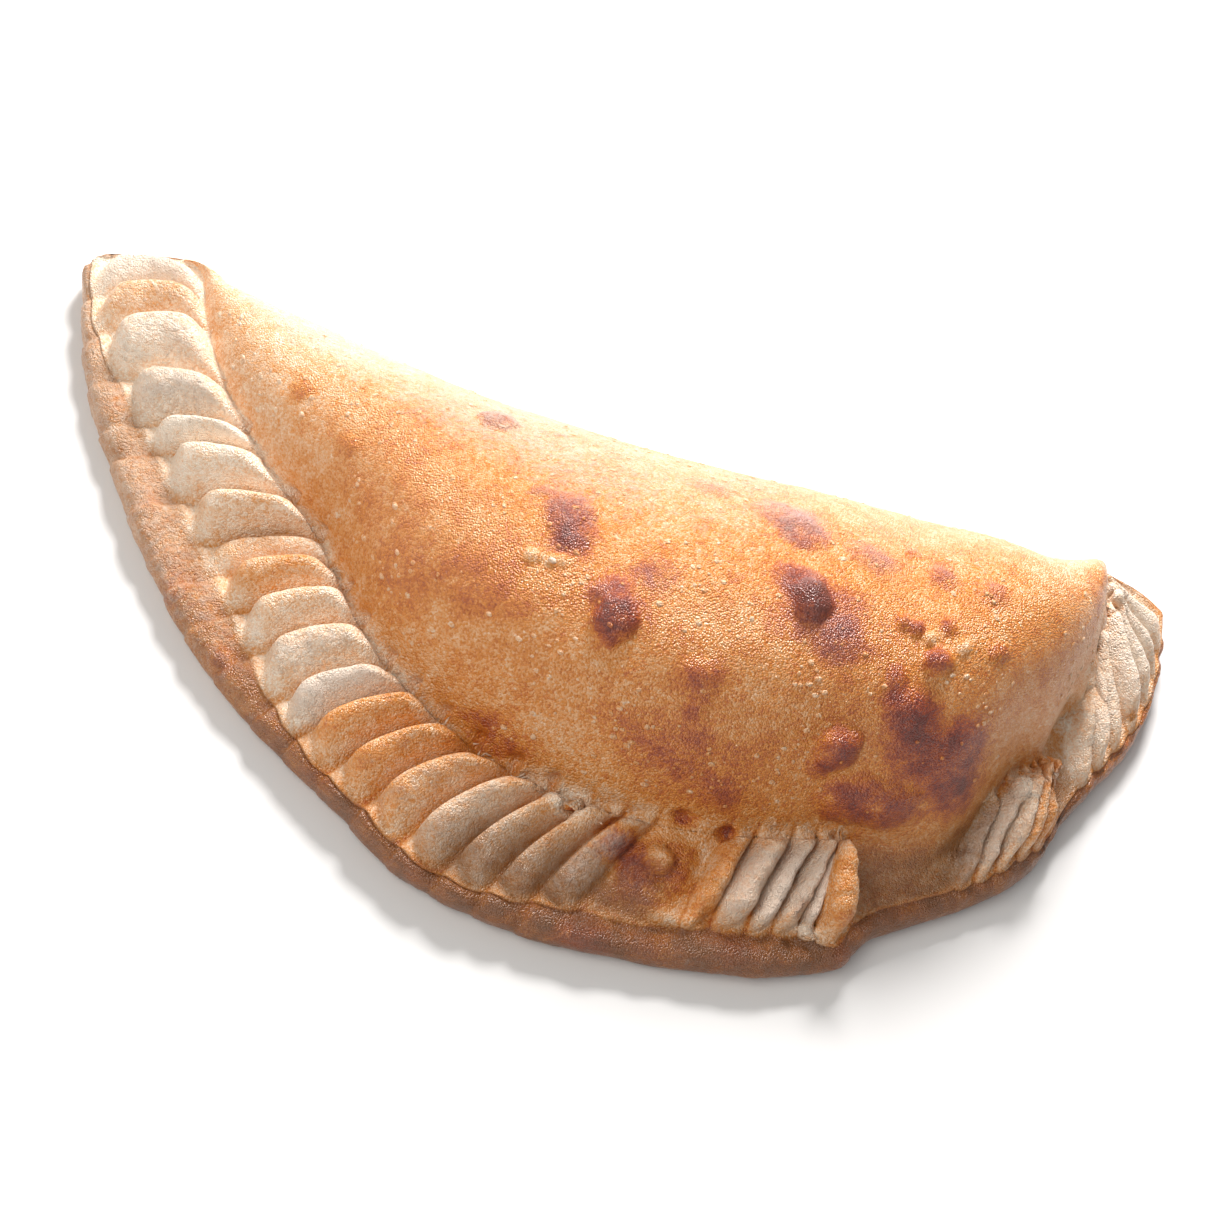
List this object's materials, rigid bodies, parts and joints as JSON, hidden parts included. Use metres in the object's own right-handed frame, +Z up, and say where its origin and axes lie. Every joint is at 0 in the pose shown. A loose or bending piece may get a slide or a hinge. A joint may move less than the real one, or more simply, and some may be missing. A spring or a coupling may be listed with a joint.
{
  "type": "calzone",
  "caption": "Baked calzone: a crescent pocket of golden pizza dough folded over its filling, with a hand-pleated rim round the front.",
  "frame": {"origin": "on the flat underside, below the middle of the calzone's box", "axes": "+X along the calzone from its left tip to its right tip, -Y towards the pleated rim, +Z up"},
  "size_m": [0.2802, 0.1434, 0.052],
  "materials": {
    "baked_crust": "golden-brown baked dough crust, satin"
  },
  "bodies": {
    "root": {"calzone": "baked_crust"}
  },
  "joints": []
}
